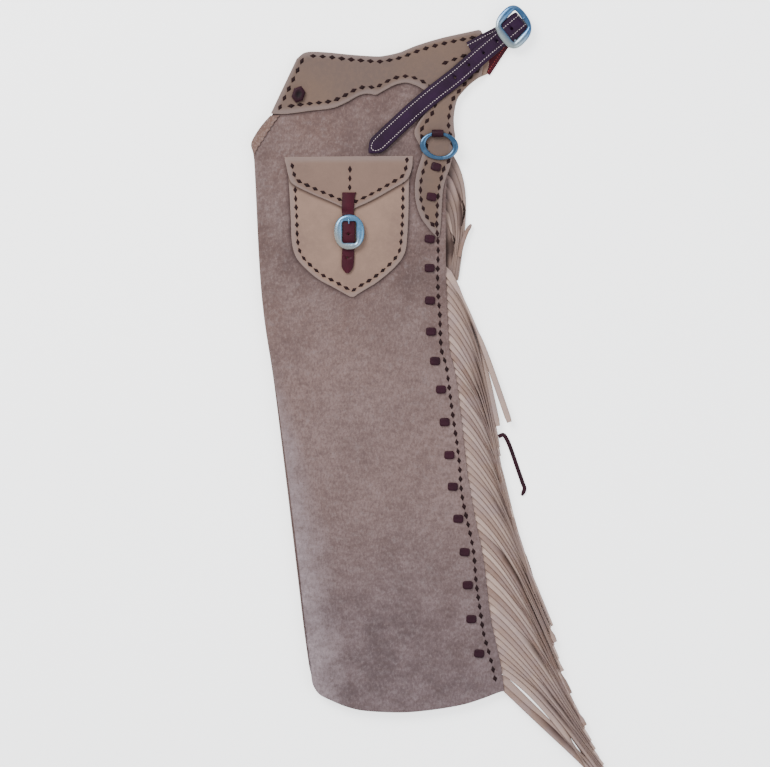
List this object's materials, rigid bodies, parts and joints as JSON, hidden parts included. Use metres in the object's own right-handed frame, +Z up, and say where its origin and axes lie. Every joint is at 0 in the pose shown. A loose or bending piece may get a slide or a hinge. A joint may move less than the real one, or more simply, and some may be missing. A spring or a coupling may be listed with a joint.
{
  "type": "leather chaps",
  "caption": "Fringed suede riding chaps folded flat at the front, with a shaped smooth leather yoke, buckled back strap, flap pocket, side ties and a swinging tie ring.",
  "frame": {"origin": "on the floor under the middle of the folded pair's bounding box", "axes": "+Y towards the waist, +X towards the fringed back edge, +Z up from the floor"},
  "size_m": [0.5502, 1.1636, 0.0349],
  "materials": {
    "suede": "napped suede",
    "smooth_leather": "smooth matt",
    "fringe_leather": "soft matt",
    "strap_leather": "waxed satin",
    "lace_leather": "waxed satin",
    "polished_metal": "polished"
  },
  "bodies": {
    "chaps": {"belt_billet": "strap_leather", "belt_buckle": "polished_metal", "belt_buckle_bar": "polished_metal", "belt_chape": "strap_leather", "belt_tongue": "polished_metal", "far_fringe": "fringe_leather", "far_yoke_arm": "smooth_leather", "front_lace_knot": "lace_leather", "hidden_layers": "suede", "loose_lace_end": "lace_leather", "near_fringe": "fringe_leather", "near_leg_panel": "suede", "near_yoke": "smooth_leather", "pinked_facing": "smooth_leather", "pocket": "smooth_leather", "pocket_buckle": "polished_metal", "pocket_flap": "smooth_leather", "pocket_strap": "lace_leather", "pocket_tongue": "polished_metal", "ring_loop": "lace_leather", "side_tie_1": "lace_leather", "side_tie_10": "lace_leather", "side_tie_11": "lace_leather", "side_tie_12": "lace_leather", "side_tie_13": "lace_leather", "side_tie_14": "lace_leather", "side_tie_15": "lace_leather", "side_tie_16": "lace_leather", "side_tie_2": "lace_leather", "side_tie_3": "lace_leather", "side_tie_4": "lace_leather", "side_tie_5": "lace_leather", "side_tie_6": "lace_leather", "side_tie_7": "lace_leather", "side_tie_8": "lace_leather", "side_tie_9": "lace_leather", "stray_tie_end": "fringe_leather"},
    "ring": {"tie_ring": "polished_metal"}
  },
  "joints": [
    {"name": "ring_swing", "type": "hinge", "parent": "chaps", "child": "ring", "pos_m": [-0.004, 0.3955, 0.0216], "axis": [-1, 0, 0], "range_deg": [0, 150]}
  ]
}
